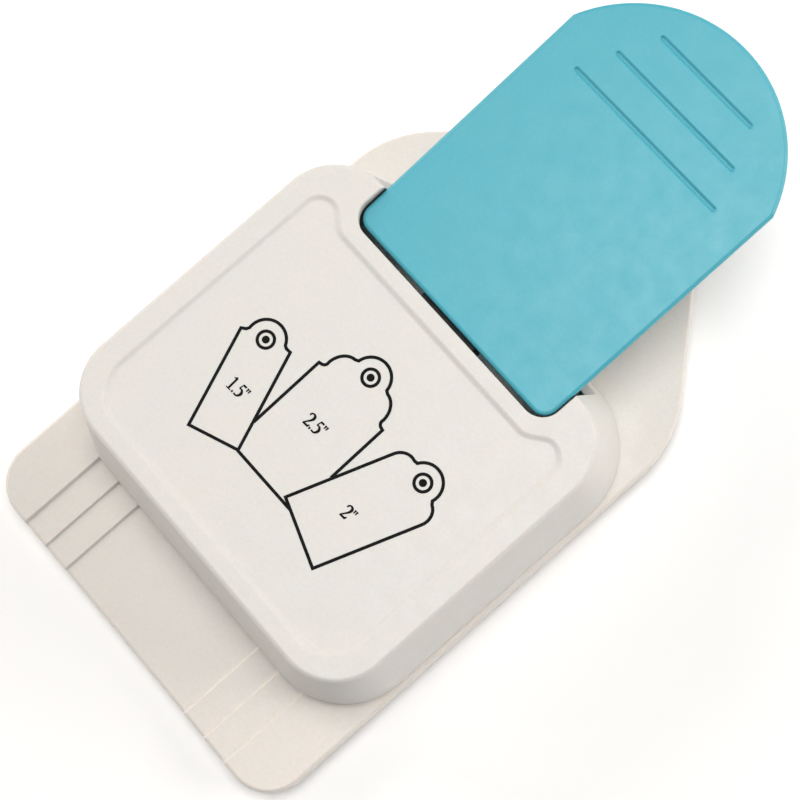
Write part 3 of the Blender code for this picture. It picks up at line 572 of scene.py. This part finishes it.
def lever_cap():
    """The finger plate: hollow below, with a passage for the arm and three grip grooves."""
    bottom = CAP_TOP - CAP_DEPTH
    rings = [at_height(cap_outline(CAP_DRAFT + 0.15), bottom)]
    rings.append(at_height(cap_outline(CAP_DRAFT), bottom + 0.15))
    for k in range(11):
        angle = math.pi / 2 * k / 10
        inset = CAP_EDGE_RADIUS * (1 - math.cos(angle))
        rings.append(at_height(cap_outline(inset), CAP_TOP - CAP_EDGE_RADIUS * (1 - math.sin(angle))))
    cap = lofted("lever_plate", rings, LEVER_FRAME)
    hollow = cap_outline(CAP_SKIRT)
    cutters = [prism("cap_hollow", hollow, bottom - 2, CAP_TOP - CAP_WALL, LEVER_FRAME)]
    width = ARM_HALF_WIDTH + ARM_CLEARANCE
    low, high = CAP_FRONT - 1, CAP_FRONT + 4
    passage = [(-width, low), (width, low), (width, high), (-width, high)]
    cutters.append(prism("arm_passage", passage, bottom - 1, ARM_TOP + PASSAGE_GAP, LEVER_FRAME))
    cutters += [groove_cutter(*groove) for groove in GROOVES]
    return shaded(carved(cap, cutters))


# Return springs


def return_spring(side):
    """A compression spring with closed ends."""
    low = SPRING_BOTTOM_Z + SPRING_WIRE
    high = SPRING_TOP_Z - SPRING_WIRE
    per_coil, sides = 40, 10
    count = int(SPRING_COILS * per_coil)
    rings = []
    for i in range(count + 1):
        angle = math.tau * i / per_coil
        share = i / count
        eased = share - math.sin(math.tau * share) / math.tau * 0.6
        out = Vector((math.cos(angle), math.sin(angle), 0))
        centre = Vector((side * POST_X, PUNCH_Y, low + (high - low) * eased)) + out * SPRING_RADIUS
        ring = []
        for k in range(sides):
            turn = math.tau * k / sides
            rise = Vector((0, 0, SPRING_WIRE * math.sin(turn)))
            ring.append(centre + out * SPRING_WIRE * math.cos(turn) + rise)
        rings.append(ring)
    return shaded(lofted(f"spring_{'right' if side > 0 else 'left'}", rings), 60)


# Printed tags


def spline(p, q, r, s, t):
    """A Catmull-Rom curve's value between q and r, with p and s beyond them."""
    square = 2 * p - 5 * q + 4 * r - s
    cube = 3 * q - p - 3 * r + s
    return 0.5 * (2 * q + (r - p) * t + square * t**2 + cube * t**3)


def smooth(points, steps=6):
    """A curve through (x, y, half width) points."""
    curve = []
    padded = [points[0], *points, points[-1]]
    for four in zip(padded, padded[1:], padded[2:], padded[3:]):
        for k in range(steps):
            curve.append(tuple(spline(*values, k / steps) for values in zip(*four)))
    return curve + [points[-1]]


def printed_line(points, place, closed=False):
    """A thin band of ink on the panel along (x, y, half width) points, with mitred corners."""
    rings = []
    count = len(points)
    for i, (x, y, half_width) in enumerate(points):
        here = Vector((x, y))
        before = (here - Vector(points[i - 1][:2])).normalized()
        after = (Vector(points[(i + 1) % count][:2]) - here).normalized()
        if not closed and i == 0:
            before = after
        if not closed and i == count - 1:
            after = before
        across = Vector((-before.y - after.y, before.x + after.x)).normalized()
        reach = half_width / max(across.dot(Vector((-before.y, before.x))), 0.4)
        left, right = here + across * reach, here - across * reach
        low, high = PANEL_Z - INK_THICKNESS, PANEL_Z + INK_THICKNESS
        rings.append([(*left, low), (*left, high), (*right, high), (*right, low)])
    if closed:
        rings.append(rings[0])
    mesh, _ = loft(rings, low_cap=not closed, high_cap=not closed)
    bmesh.ops.remove_doubles(mesh, verts=mesh.verts, dist=0.001)
    return made("line", mesh, place)


def printed_dot(x, y, radius, place):
    low, high = PANEL_Z - INK_THICKNESS, PANEL_Z + INK_THICKNESS
    return prism("dot", circle(x, y, radius, 32), low, high, place)


def print_frame(x, y, degrees, scale=1.0):
    turn = Matrix.Rotation(math.radians(degrees), 4, "Z")
    flat = Matrix.Diagonal((scale, scale, 1, 1))
    return BASE_FRAME @ Matrix.Translation((x, y, 0)) @ turn @ flat


def tag_right(half_width, corner, shoulder, neck, neck_radius, neck_start):
    """Right half of a tag's outline, from its square end up to the round neck for the eyelet."""
    line = [(half_width, 0.0), (half_width, corner), *shoulder]
    return line + arc(0, neck, neck_radius, neck_radius, neck_start, 90, 16)


def both_halves(right):
    return right + [(-x, y) for x, y in reversed(right[:-1])]


def inked(outline):
    return [(x, y, LINE_HALF_WIDTH) for x, y in outline]


def numeral_strokes(character):
    """Pen strokes of a serifed numeral one unit high, as (x, y, half width) points."""
    if character == "1":
        return [
            [(0.08, 0.84, 0.03), (0.31, 0.99, 0.05)],
            [(0.29, 0.02, 0.06), (0.29, 0.97, 0.06)],
            [(0.08, 0.025, 0.03), (0.5, 0.025, 0.03)],
        ]
    if character == "2":
        return [
            smooth([(0.05, 0.74, 0.05), (0.1, 0.9, 0.045), (0.26, 0.97, 0.05), (0.42, 0.88, 0.075),
                    (0.45, 0.7, 0.08), (0.36, 0.48, 0.055), (0.06, 0.06, 0.035)]),
            [(0.03, 0.06, 0.06), (0.46, 0.06, 0.06), (0.54, 0.22, 0.03)],
        ]
    if character == "5":
        return [
            [(0.16, 0.93, 0.055), (0.47, 0.93, 0.055)],
            [(0.19, 0.95, 0.03), (0.11, 0.58, 0.035)],
            smooth([(0.11, 0.58, 0.035), (0.3, 0.6, 0.05), (0.44, 0.46, 0.075), (0.46, 0.28, 0.08),
                    (0.34, 0.08, 0.055), (0.16, 0.03, 0.045), (0.05, 0.08, 0.05)]),
        ]
    if character == ".":
        return [[(0.03, 0.06, 0.065), (0.16, 0.06, 0.065)]]
    return [[(x, 1.0, 0.06), (x - 0.02, 0.72, 0.025)] for x in (0.1, 0.27)]


def size_numeral(text, x, y):
    """A strip size such as 1.5 inches, centred on (x, y)."""
    widths = {"1": 0.54, "2": 0.58, "5": 0.54, ".": 0.22, "\"": 0.36}
    length = sum(widths[c] for c in text) * NUMERAL_HEIGHT
    place = print_frame(x, y, NUMERAL_TURN, NUMERAL_HEIGHT)
    place = place @ Matrix.Translation((-length / 2 / NUMERAL_HEIGHT, -0.5, 0))
    lines, pen = [], 0.0
    for character in text:
        moved = place @ Matrix.Translation((pen, 0, 0))
        for stroke in numeral_strokes(character):
            bold = [(a, b, half_width * NUMERAL_WEIGHT) for a, b, half_width in stroke]
            lines.append(printed_line(bold, moved))
        pen += widths[character]
    return lines


def printed_tags():
    """Tag outlines for the three strip widths, each with its eyelet and its size."""
    narrow = tag_right(5.3, 20.65, [(4.3, 20.95), (3.95, 21.3)], 20.75, 3.9, 10)
    medium = tag_right(7.05, 21.2, arc(4.3, 21.4, 2.75, 3.1, 8, 88, 8), 24.45, 3.75, 6)
    dip = [(8.8, 22.35), (8.1, 22.5), (7.7, 22.8), (7.5, 23.2)]
    wide = tag_right(8.8, 9.4, dip + arc(4.25, 23.5, 3.3, 4.1, 5, 86, 10), 27.4, 3.9, 8)
    narrow_place = print_frame(-12.09, 41.77, 21.3)
    wide_place = print_frame(-0.28, 43.6, 1.35)
    medium_place = print_frame(12.04, 42.24, -19.8)
    wide_line = both_halves(wide)[1:-1]
    wide_line[-1] = (wide_line[-1][0], 5.9)
    parts = [
        printed_line(inked(both_halves(narrow)), narrow_place, closed=True),
        printed_line(inked(both_halves(medium)), medium_place, closed=True),
        printed_line(inked(wide_line), wide_place),
        printed_line(inked([(-6.95, 0.15), (8.15, -0.05)]), wide_place),
    ]
    for place, height in ((narrow_place, 20.75), (medium_place, 24.45), (wide_place, 27.4)):
        ring = inked(circle(0, height, EYELET_RING_RADIUS, 40))
        parts.append(printed_line(ring, place, closed=True))
        parts.append(printed_dot(0, height, EYELET_DOT_RADIUS, place))
    parts += size_numeral('1.5"', -15.98, 51.22)
    parts += size_numeral('2.5"', -1.01, 57.51)
    parts += size_numeral('2"', 15.54, 51.4)
    tags = parts[0]
    tags.name = "printed_tags"
    return carved(tags, additions=parts[1:])


# Materials; their lengths are in metres

CREVICE_REACH = 0.0016
GAP_REACH = 0.03
PLASTIC_EDGE = 0.0005
METAL_EDGE = 0.0003
EDGE_POLISH = -0.12
MOTTLING_DEPTH = 0.00004


def new_material(name):
    material = bpy.data.materials.new(name)
    material.use_nodes = True
    tree = material.node_tree
    return material, tree, tree.nodes["Principled BSDF"]


def add(tree, kind, **values):
    """A node with its properties and its inputs' values set."""
    node = tree.nodes.new(kind)
    for key, value in values.items():
        if key.startswith("in_"):
            node.inputs[key[3:].replace("_", " ")].default_value = value
        else:
            setattr(node, key, value)
    return node


def object_coordinates(tree, stretch=(1, 1, 1)):
    coordinates = add(tree, "ShaderNodeTexCoord")
    mapping = add(tree, "ShaderNodeMapping", in_Scale=stretch)
    tree.links.new(coordinates.outputs["Object"], mapping.inputs["Vector"])
    return mapping.outputs["Vector"]


def noise(tree, vector, scale, detail=2.0, roughness=0.5):
    node = add(tree, "ShaderNodeTexNoise", in_Scale=scale, in_Detail=detail, in_Roughness=roughness)
    tree.links.new(vector, node.inputs["Vector"])
    return node.outputs["Fac"]


def ranged(tree, value, low, high, start=0.3, end=0.7):
    node = add(tree, "ShaderNodeMapRange")
    node.inputs["From Min"].default_value = start
    node.inputs["From Max"].default_value = end
    node.inputs["To Min"].default_value = low
    node.inputs["To Max"].default_value = high
    tree.links.new(value, node.inputs["Value"])
    return node.outputs["Result"]


def mixed(tree, factor, first, second, blend="MIX"):
    """A colour mix; each of factor, first and second is a socket or a value."""
    node = add(tree, "ShaderNodeMix", data_type="RGBA", blend_type=blend)
    sockets = (node.inputs[0], node.inputs[6], node.inputs[7])
    for socket, value in zip(sockets, (factor, first, second)):
        if isinstance(value, bpy.types.NodeSocket):
            tree.links.new(value, socket)
        else:
            socket.default_value = value
    return node.outputs[2]


def bumped(tree, shader, height, distance, strength=1.0, normal=None):
    node = add(tree, "ShaderNodeBump", in_Strength=strength, in_Distance=distance)
    tree.links.new(height, node.inputs["Height"])
    if normal:
        tree.links.new(normal, node.inputs["Normal"])
    tree.links.new(node.outputs["Normal"], shader.inputs["Normal"])
    return node.outputs["Normal"]


def edge_mask(tree, radius):
    """1 on edges about as tight as the radius, 0 on flat faces."""
    bevel = add(tree, "ShaderNodeBevel", samples=6, in_Radius=radius)
    geometry = add(tree, "ShaderNodeNewGeometry")
    dot = add(tree, "ShaderNodeVectorMath", operation="DOT_PRODUCT")
    tree.links.new(bevel.outputs["Normal"], dot.inputs[0])
    tree.links.new(geometry.outputs["Normal"], dot.inputs[1])
    return ranged(tree, dot.outputs["Value"], 1.0, 0.0, 0.88, 1.0)


def cavity_mask(tree, distance, alone):
    """1 in the open, towards 0 in corners and grooves of the piece alone, or of all pieces."""
    node = add(tree, "ShaderNodeAmbientOcclusion", samples=8, only_local=alone, in_Distance=distance)
    return node.outputs["AO"]


def moulded_plastic(name, warm, cool, crevice_shade_tint, gap_shade_tint, roughness, grain, glow):
    """Spark-textured plastic with faint mottling, satin grain and polished edges, with painted shade in its
    crevices and painted shade deep in narrow gaps.
    """
    material, tree, shader = new_material(name)
    vector = object_coordinates(tree)
    colour = mixed(tree, ranged(tree, noise(tree, vector, 55, 3), 0.0, 1.0), warm, cool)
    speckle = ranged(tree, noise(tree, vector, 1500, 2), 0.965, 1.02, 0.25, 0.75)
    colour = mixed(tree, 1.0, colour, speckle, "MULTIPLY")
    # Painted shade: the colour is darkened towards the crevice tint in the piece's own corners and grooves.
    crevice_shade = ranged(tree, cavity_mask(tree, CREVICE_REACH, True), 1.0, 0.0, 0.45, 0.9)
    colour = mixed(tree, crevice_shade, colour, crevice_shade_tint, "MULTIPLY")
    # Painted shade: the colour is darkened towards the gap tint deep in narrow gaps, shaded by all the pieces
    # nearby.
    gap_shade = ranged(tree, cavity_mask(tree, GAP_REACH, False), 1.0, 0.0, 0.06, 0.3)
    colour = mixed(tree, gap_shade, colour, gap_shade_tint, "MULTIPLY")
    tree.links.new(colour, shader.inputs["Base Color"])
    rough = ranged(tree, noise(tree, vector, 240, 3), roughness - 0.05, roughness + 0.05)
    edge = edge_mask(tree, PLASTIC_EDGE)
    polish = add(tree, "ShaderNodeMath", operation="MULTIPLY_ADD")
    tree.links.new(edge, polish.inputs[0])
    polish.inputs[1].default_value = EDGE_POLISH
    tree.links.new(rough, polish.inputs[2])
    tree.links.new(polish.outputs[0], shader.inputs["Roughness"])
    fine = noise(tree, vector, 2600, 2, 0.6)
    broad = noise(tree, vector, 70, 2)
    first = bumped(tree, shader, broad, MOTTLING_DEPTH, 0.5)
    bumped(tree, shader, fine, grain, 1.0, first)
    shader.inputs["Subsurface Weight"].default_value = glow
    shader.inputs["Subsurface Radius"].default_value = (1.0, 0.55, 0.35)
    shader.inputs["Subsurface Scale"].default_value = 0.0012
    shader.inputs["Specular IOR Level"].default_value = 0.45
    return material


def brushed_metal(name, colour, roughness, stretch, scratch=0.000004):
    """Metal with a lay of fine parallel scratches, worn bright edges and faint stains."""
    material, tree, shader = new_material(name)
    lay = object_coordinates(tree, stretch)
    even = object_coordinates(tree)
    stain = ranged(tree, noise(tree, even, 130, 4), 0.86, 1.04)
    colour = mixed(tree, 1.0, (*colour, 1), stain, "MULTIPLY")
    bright = mixed(tree, edge_mask(tree, METAL_EDGE), colour, (0.82, 0.82, 0.81, 1))
    tree.links.new(bright, shader.inputs["Base Color"])
    shader.inputs["Metallic"].default_value = 1.0
    rough = ranged(tree, noise(tree, lay, 500, 3, 0.65), roughness - 0.08, roughness + 0.1)
    tree.links.new(rough, shader.inputs["Roughness"])
    bumped(tree, shader, noise(tree, lay, 900, 3, 0.7), scratch, 1.0)
    return material


def rubber():
    material, tree, shader = new_material("foot_rubber")
    vector = object_coordinates(tree)
    dust = ranged(tree, noise(tree, vector, 420, 4), 0.0, 0.35)
    colour = mixed(tree, dust, (0.022, 0.022, 0.023, 1), (0.075, 0.072, 0.068, 1))
    tree.links.new(colour, shader.inputs["Base Color"])
    tree.links.new(ranged(tree, noise(tree, vector, 300, 3), 0.78, 0.95), shader.inputs["Roughness"])
    bumped(tree, shader, noise(tree, vector, 1800, 3), 0.00003)
    return material


def nylon():
    material, tree, shader = new_material("pad_nylon")
    vector = object_coordinates(tree)
    mottling = ranged(tree, noise(tree, vector, 150, 3), 0, 1)
    colour = mixed(tree, mottling, (0.78, 0.77, 0.72, 1), (0.70, 0.69, 0.65, 1))
    tree.links.new(colour, shader.inputs["Base Color"])
    tree.links.new(ranged(tree, noise(tree, vector, 400, 2), 0.3, 0.45), shader.inputs["Roughness"])
    bumped(tree, shader, noise(tree, vector, 900, 2), 0.00001)
    shader.inputs["Subsurface Weight"].default_value = 0.3
    shader.inputs["Subsurface Scale"].default_value = 0.002
    return material


def black_paint_for_gap_shade():
    """Satin black enamel over the arm's sheet steel, a little dusty. The black is painted shade: it makes the gap
    in front of the lever read dark.
    """
    material, tree, shader = new_material("black_painted_steel_for_gap_shade")
    vector = object_coordinates(tree)
    dust = ranged(tree, noise(tree, vector, 350, 4), 0.0, 0.3)
    colour = mixed(tree, dust, (0.012, 0.012, 0.013, 1), (0.035, 0.034, 0.032, 1))
    tree.links.new(colour, shader.inputs["Base Color"])
    tree.links.new(ranged(tree, noise(tree, vector, 500, 3), 0.45, 0.6), shader.inputs["Roughness"])
    bumped(tree, shader, noise(tree, vector, 1300, 3), 0.00001)
    shader.inputs["Specular IOR Level"].default_value = 0.2
    return material


def printing_ink():
    material, tree, shader = new_material("printing_ink")
    vector = object_coordinates(tree)
    mottling = ranged(tree, noise(tree, vector, 900, 3), 0, 1)
    colour = mixed(tree, mottling, (0.003, 0.003, 0.003, 1), (0.008, 0.008, 0.008, 1))
    tree.links.new(colour, shader.inputs["Base Color"])
    tree.links.new(ranged(tree, noise(tree, vector, 600, 2), 0.7, 0.8), shader.inputs["Roughness"])
    bumped(tree, shader, noise(tree, vector, 2600, 2), 0.00001)
    shader.inputs["Specular IOR Level"].default_value = 0.12
    return material


# Scene; lengths in metres, light powers in watts

CAMERA_PLACE = (0.0599, -0.0264, 0.3284)
CAMERA_DEGREES = (72.39, 78.96, -23.98)  # azimuth, elevation and roll
ROOM_COLOUR = (1.0, 0.97, 0.94, 1)
ROOM_STRENGTH = 0.08
LIGHT_TARGET = (0, 0, 0.02)
LIGHTS = (  # name, place, size, power and colour
    ("overhead", (0.03, 0.05, 0.9), 0.45, 4.9, (0.985, 0.995, 1.0)),
    ("left", (-0.85, -0.1, 0.45), 0.6, 4.4, (1.0, 0.94, 0.88)),
    ("left_front", (-0.6, -0.65, 0.45), 0.6, 1.6, (1.0, 0.92, 0.84)),
    ("rear", (0.1, 0.85, 0.45), 0.6, 2.0, (1.0, 0.95, 0.90)),
    ("rear_right", (0.6, 0.65, 0.45), 0.6, 4.3, (1.0, 0.94, 0.88)),
)


def floor():
    mesh = bmesh.new()
    bmesh.ops.create_grid(mesh, x_segments=1, y_segments=1, size=3.0)
    ground = made("floor", mesh, Matrix.Identity(4))
    material, tree, shader = new_material("floor_paper")
    vector = object_coordinates(tree)
    tone = ranged(tree, noise(tree, vector, 12, 2), 0.985, 1.0)
    colour = mixed(tree, 1.0, (0.985, 0.985, 0.985, 1), tone, "MULTIPLY")
    tree.links.new(colour, shader.inputs["Base Color"])
    shader.inputs["Roughness"].default_value = 0.9
    shader.inputs["Specular IOR Level"].default_value = 0.1
    ground.data.materials.append(material)


def area_light(name, place, size, power, colour):
    """A round lamp that faces the punch."""
    data = bpy.data.lights.new(name, "AREA")
    data.shape = "DISK"
    data.size = size
    data.energy = power
    data.color = colour
    light = bpy.data.objects.new(name, data)
    bpy.context.scene.collection.objects.link(light)
    light.location = place
    facing = Vector(LIGHT_TARGET) - Vector(place)
    light.rotation_euler = facing.to_track_quat("-Z", "Y").to_euler()


def studio():
    """A soft light overhead, warmer ones low at the left, the rear and the rear right."""
    world = bpy.data.worlds.new("studio")
    world.use_nodes = True
    background = world.node_tree.nodes["Background"]
    background.inputs["Color"].default_value = ROOM_COLOUR
    background.inputs["Strength"].default_value = ROOM_STRENGTH
    bpy.context.scene.world = world
    for light in LIGHTS:
        area_light(*light)
    bpy.context.scene.view_settings.view_transform = "Standard"


def camera():
    """The photograph's view: almost straight down from the right, the punch's front at lower left."""
    azimuth, elevation, roll = (math.radians(a) for a in CAMERA_DEGREES)
    back = Vector((
        math.sin(azimuth) * math.cos(elevation),
        -math.cos(azimuth) * math.cos(elevation),
        math.sin(elevation),
    ))
    level = back.cross(Vector((0, 0, -1))).normalized()
    upright = level.cross(-back)
    right = level * math.cos(roll) + upright * math.sin(roll)
    up = upright * math.cos(roll) - level * math.sin(roll)
    data = bpy.data.cameras.new("camera")
    data.lens = 72.0
    data.sensor_width = 36.0
    made_camera = bpy.data.objects.new("camera", data)
    bpy.context.scene.collection.objects.link(made_camera)
    turn = Matrix((right, up, back)).transposed().to_4x4()
    made_camera.matrix_world = Matrix.Translation(CAMERA_PLACE) @ turn
    bpy.context.scene.camera = made_camera


camera()
floor()
studio()

# In each plastic below, the crevice tint and the gap tint are painted shade, not colours of the plastic.
head_cream = moulded_plastic(
    "head_plastic",
    warm=(0.675, 0.652, 0.622, 1),
    cool=(0.665, 0.654, 0.63, 1),
    crevice_shade_tint=(0.94, 0.87, 0.80, 1),
    gap_shade_tint=(0.17, 0.16, 0.15, 1),
    roughness=0.5,
    grain=0.000012,
    glow=0.25,
)
# The base uses the head's cream plastic painted lighter and warmer: painted warm light on the lower base, not a
# different plastic.
base_cream_painted_warm = moulded_plastic(
    "base_plastic_painted_warm",
    warm=(0.735, 0.69, 0.64, 1),
    cool=(0.725, 0.69, 0.65, 1),
    crevice_shade_tint=(0.94, 0.85, 0.77, 1),
    gap_shade_tint=(0.2, 0.18, 0.16, 1),
    roughness=0.5,
    grain=0.000012,
    glow=0.25,
)
teal = moulded_plastic(
    "teal_plastic",
    warm=(0.072, 0.402, 0.50, 1),
    cool=(0.08, 0.407, 0.498, 1),
    crevice_shade_tint=(0.75, 0.85, 0.88, 1),
    gap_shade_tint=(0.12, 0.14, 0.15, 1),
    roughness=0.42,
    grain=0.000012,
    glow=0.12,
)
dressed(base_shell(), base_cream_painted_warm, "cream_plastic", "base", "base_shell")
dressed(head_shell(), head_cream, "cream_plastic", "base", "head_shell")
dressed(lever_cap(), teal, "teal_plastic", "lever", "lever_cap")

tags = printed_tags()
tags.data.materials.clear()
tags.data.materials.append(printing_ink())
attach(tags, "base")

spring_steel = brushed_metal("spring_steel", (0.42, 0.42, 0.43), 0.34, (1, 1, 8))
for side, name in ((-1, "left"), (1, "right")):
    spring = dressed(return_spring(side), spring_steel, "spring_wire", "base", f"return_spring_{name}")
    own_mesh(spring)

finishes = {
    "rubber": rubber(),
    "nylon": nylon(),
    # The arm's black stands in for the shade in the gap in front of the lever.
    "black_steel": black_paint_for_gap_shade(),
    "steel_sheet": brushed_metal("zinc_plated_sheet", (0.56, 0.57, 0.58), 0.36, (1, 12, 12)),
    "tool_steel": brushed_metal("ground_tool_steel", (0.44, 0.44, 0.45), 0.26, (16, 1, 16)),
    "zinc_screw": brushed_metal("zinc_plated_screw", (0.62, 0.62, 0.59), 0.3, (1, 1, 6)),
    "spring_wire": spring_steel,
}
for entry in frame["record"]["subparts"]:
    node = frame["nodes"][entry["node"]]
    finish = finishes.get(entry["material_slot"])
    if finish:
        node.data.materials.clear()
        node.data.materials.append(finish)
